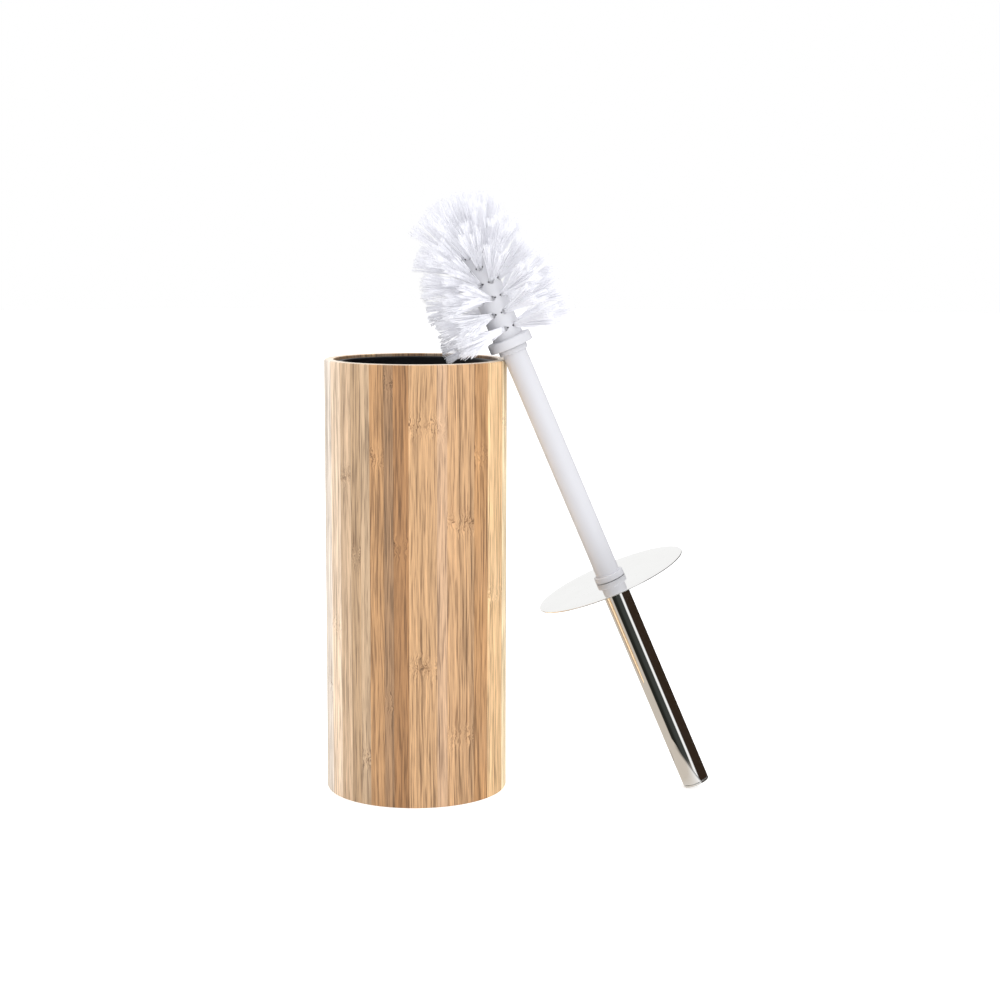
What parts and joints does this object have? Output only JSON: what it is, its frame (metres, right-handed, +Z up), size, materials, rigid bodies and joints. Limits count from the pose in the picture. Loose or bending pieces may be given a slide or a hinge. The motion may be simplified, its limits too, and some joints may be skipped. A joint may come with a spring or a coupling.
{
  "type": "toilet brush holder",
  "caption": "Round bamboo toilet brush holder with a removable liner cup, and its brush with a steel lid and handle leaning on the rim.",
  "frame": {"origin": "centre of the holder's underside, on the floor", "axes": "+Z up the holder's axis; the brush stands beside the holder on +X and leans back towards -X; -Y is the front"},
  "size_m": [0.2137, 0.1014, 0.3306],
  "materials": {
    "bamboo": "satin-lacquered upright bamboo strips, glued edge to edge",
    "bamboo_board": "sanded bamboo board",
    "black_plastic": "moulded black polypropylene, semi-gloss",
    "polished_steel": "mirror-polished stainless steel",
    "white_plastic": "moulded white polypropylene, satin",
    "insert_plastic": "moulded natural polypropylene",
    "bristle_nylon": "bundles of fine, slightly translucent white filaments"
  },
  "bodies": {
    "holder": {"bamboo_sleeve": "bamboo", "base_disc": "bamboo_board"},
    "liner": {"liner_cup": "black_plastic"},
    "handle": {"handle_tube": "polished_steel", "handle_insert": "insert_plastic", "handle_end_cap": "polished_steel"},
    "lid": {"lid_disc": "polished_steel"},
    "rod": {"rod": "white_plastic"},
    "head": {"head_core": "white_plastic", "tuft_row1_1": "bristle_nylon", "tuft_row1_2": "bristle_nylon", "tuft_row1_3": "bristle_nylon", "tuft_row1_4": "bristle_nylon", "tuft_row1_5": "bristle_nylon", "tuft_row1_6": "bristle_nylon", "tuft_row1_7": "bristle_nylon", "tuft_row1_8": "bristle_nylon", "tuft_row2_1": "bristle_nylon", "tuft_row2_2": "bristle_nylon", "tuft_row2_3": "bristle_nylon", "tuft_row2_4": "bristle_nylon", "tuft_row2_5": "bristle_nylon", "tuft_row2_6": "bristle_nylon", "tuft_row2_7": "bristle_nylon", "tuft_row2_8": "bristle_nylon", "tuft_row3_1": "bristle_nylon", "tuft_row3_2": "bristle_nylon", "tuft_row3_3": "bristle_nylon", "tuft_row3_4": "bristle_nylon", "tuft_row3_5": "bristle_nylon", "tuft_row3_6": "bristle_nylon", "tuft_row3_7": "bristle_nylon", "tuft_row3_8": "bristle_nylon", "tuft_row4_1": "bristle_nylon", "tuft_row4_2": "bristle_nylon", "tuft_row4_3": "bristle_nylon", "tuft_row4_4": "bristle_nylon", "tuft_row4_5": "bristle_nylon", "tuft_row4_6": "bristle_nylon", "tuft_row4_7": "bristle_nylon", "tuft_row4_8": "bristle_nylon", "tuft_row5_1": "bristle_nylon", "tuft_row5_2": "bristle_nylon", "tuft_row5_3": "bristle_nylon", "tuft_row5_4": "bristle_nylon", "tuft_row5_5": "bristle_nylon", "tuft_row5_6": "bristle_nylon", "tuft_row5_7": "bristle_nylon", "tuft_row5_8": "bristle_nylon", "tuft_crown1_1": "bristle_nylon", "tuft_crown1_2": "bristle_nylon", "tuft_crown1_3": "bristle_nylon", "tuft_crown1_4": "bristle_nylon", "tuft_crown1_5": "bristle_nylon", "tuft_crown1_6": "bristle_nylon", "tuft_crown2_1": "bristle_nylon", "tuft_crown2_2": "bristle_nylon", "tuft_crown2_3": "bristle_nylon"}
  },
  "joints": [
    {"name": "liner_lift", "type": "slide", "parent": "holder", "child": "liner", "axis": [0, 0, 1], "range_m": [0, 0.25]},
    {"name": "brush_lift", "type": "slide", "parent": "liner", "child": "handle", "axis": [0, 0, 1], "range_m": [0, 0.26]},
    {"name": "thread_travel", "type": "slide", "parent": "handle", "child": "lid", "axis": [-0.3932, -0.0238, 0.9191], "range_m": [0, 0.0151]},
    {"name": "rod_unscrew", "type": "hinge", "parent": "lid", "child": "rod", "pos_m": [0.1571, -0.0061, 0.00275], "axis": [-0.3932, -0.0238, 0.9191], "range_deg": [0, 2160]},
    {"name": "head_pull", "type": "slide", "parent": "rod", "child": "head", "axis": [-0.3932, -0.0238, 0.9191], "range_m": [0, 0.02]}
  ],
  "couplings": [
    {"joint": "thread_travel", "follows": "rod_unscrew", "m_per_rad": 0.00039789}
  ]
}
